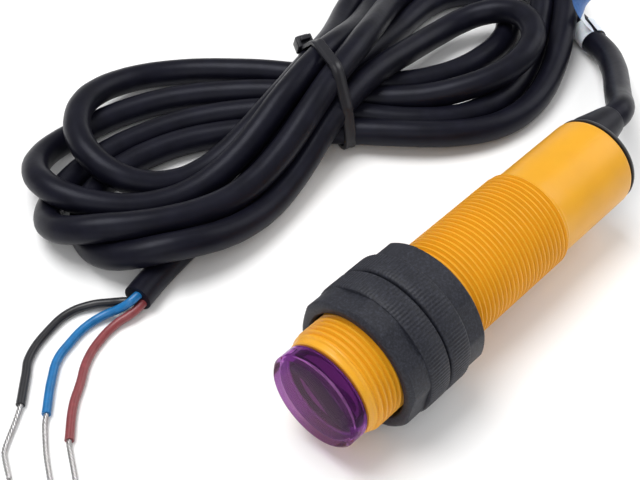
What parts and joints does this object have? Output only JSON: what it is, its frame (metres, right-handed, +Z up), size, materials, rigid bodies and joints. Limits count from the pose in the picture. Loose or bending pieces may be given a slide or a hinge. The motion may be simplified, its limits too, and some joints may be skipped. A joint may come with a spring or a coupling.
{
  "type": "photoelectric proximity sensor",
  "caption": "Threaded-barrel photoelectric proximity switch with violet lens, clamping nuts and a tied hank of three-wire cable.",
  "frame": {"origin": "middle of the switch on the surface it lies on, without the cable", "axes": "+Y along the sensing axis from the lens towards the cable end, +Z up from the surface, +X across"},
  "size_m": [0.0975, 0.1625, 0.0237],
  "materials": {
    "barrel_plastic": "moulded orange ABS, satin, fine M18 thread",
    "lens_filter": "polished violet infrared-pass acrylic",
    "black_plastic": "moulded black plastic",
    "nut_plastic": "moulded dark grey-black nylon, fine grain, worn light edges",
    "opto_resin": "tinted epoxy lens",
    "board_laminate": "green solder mask over glass laminate",
    "chip_resin": "moulded chip epoxy",
    "capacitor_can": "drawn aluminium can with a dark sleeve",
    "trimmer_plastic": "moulded blue plastic",
    "trimmer_brass": "turned brass screw head, slotted",
    "indicator_resin": "red diffusing epoxy",
    "gland_rubber": "moulded soft PVC, satin",
    "cable_jacket": "extruded black PVC jacket, satin",
    "wire_black": "black PVC insulation",
    "wire_blue": "blue PVC insulation",
    "wire_brown": "red-brown PVC insulation",
    "tinned_copper": "twisted tinned strands",
    "tie_nylon": "black nylon, ribbed",
    "label_paper": "coated white paper with a plain blue band, no lettering"
  },
  "bodies": {
    "switch": {"barrel": "barrel_plastic", "lens_cap": "lens_filter", "optic_divider": "black_plastic", "optic_holder": "black_plastic", "emitter_led": "opto_resin", "receiver_diode": "opto_resin", "main_board": "board_laminate", "controller_chip": "chip_resin", "regulator_chip": "chip_resin", "smoothing_capacitor": "capacitor_can", "output_transistor": "chip_resin", "trimmer_body": "trimmer_plastic", "indicator_led": "indicator_resin", "rear_cap": "black_plastic", "cable_gland": "gland_rubber", "core_black": "wire_black", "core_blue": "wire_blue", "core_brown": "wire_brown", "cable_lead": "cable_jacket", "cable_hank": "cable_jacket", "cable_tail": "cable_jacket", "cable_tie": "tie_nylon", "cable_label": "label_paper", "wire_black": "wire_black", "wire_blue": "wire_blue", "wire_brown": "wire_brown", "tip_black": "tinned_copper", "tip_blue": "tinned_copper", "tip_brown": "tinned_copper"},
    "front_nut": {"nut_front": "nut_plastic"},
    "rear_nut": {"nut_rear": "nut_plastic"},
    "trimmer_screw": {"trimmer_screw": "trimmer_brass"}
  },
  "joints": [
    {"name": "front_nut_travel", "type": "slide", "parent": "switch", "child": "front_nut", "axis": [0, -1, 0], "range_m": [0, 0.0056]},
    {"name": "rear_nut_travel", "type": "slide", "parent": "switch", "child": "rear_nut", "axis": [0, 1, 0], "range_m": [0, 0.0245]},
    {"name": "trimmer_turn", "type": "hinge", "parent": "switch", "child": "trimmer_screw", "pos_m": [0.0033, 0.03, 0.00895], "axis": [0, 1, 0], "range_deg": [-135, 135]}
  ]
}
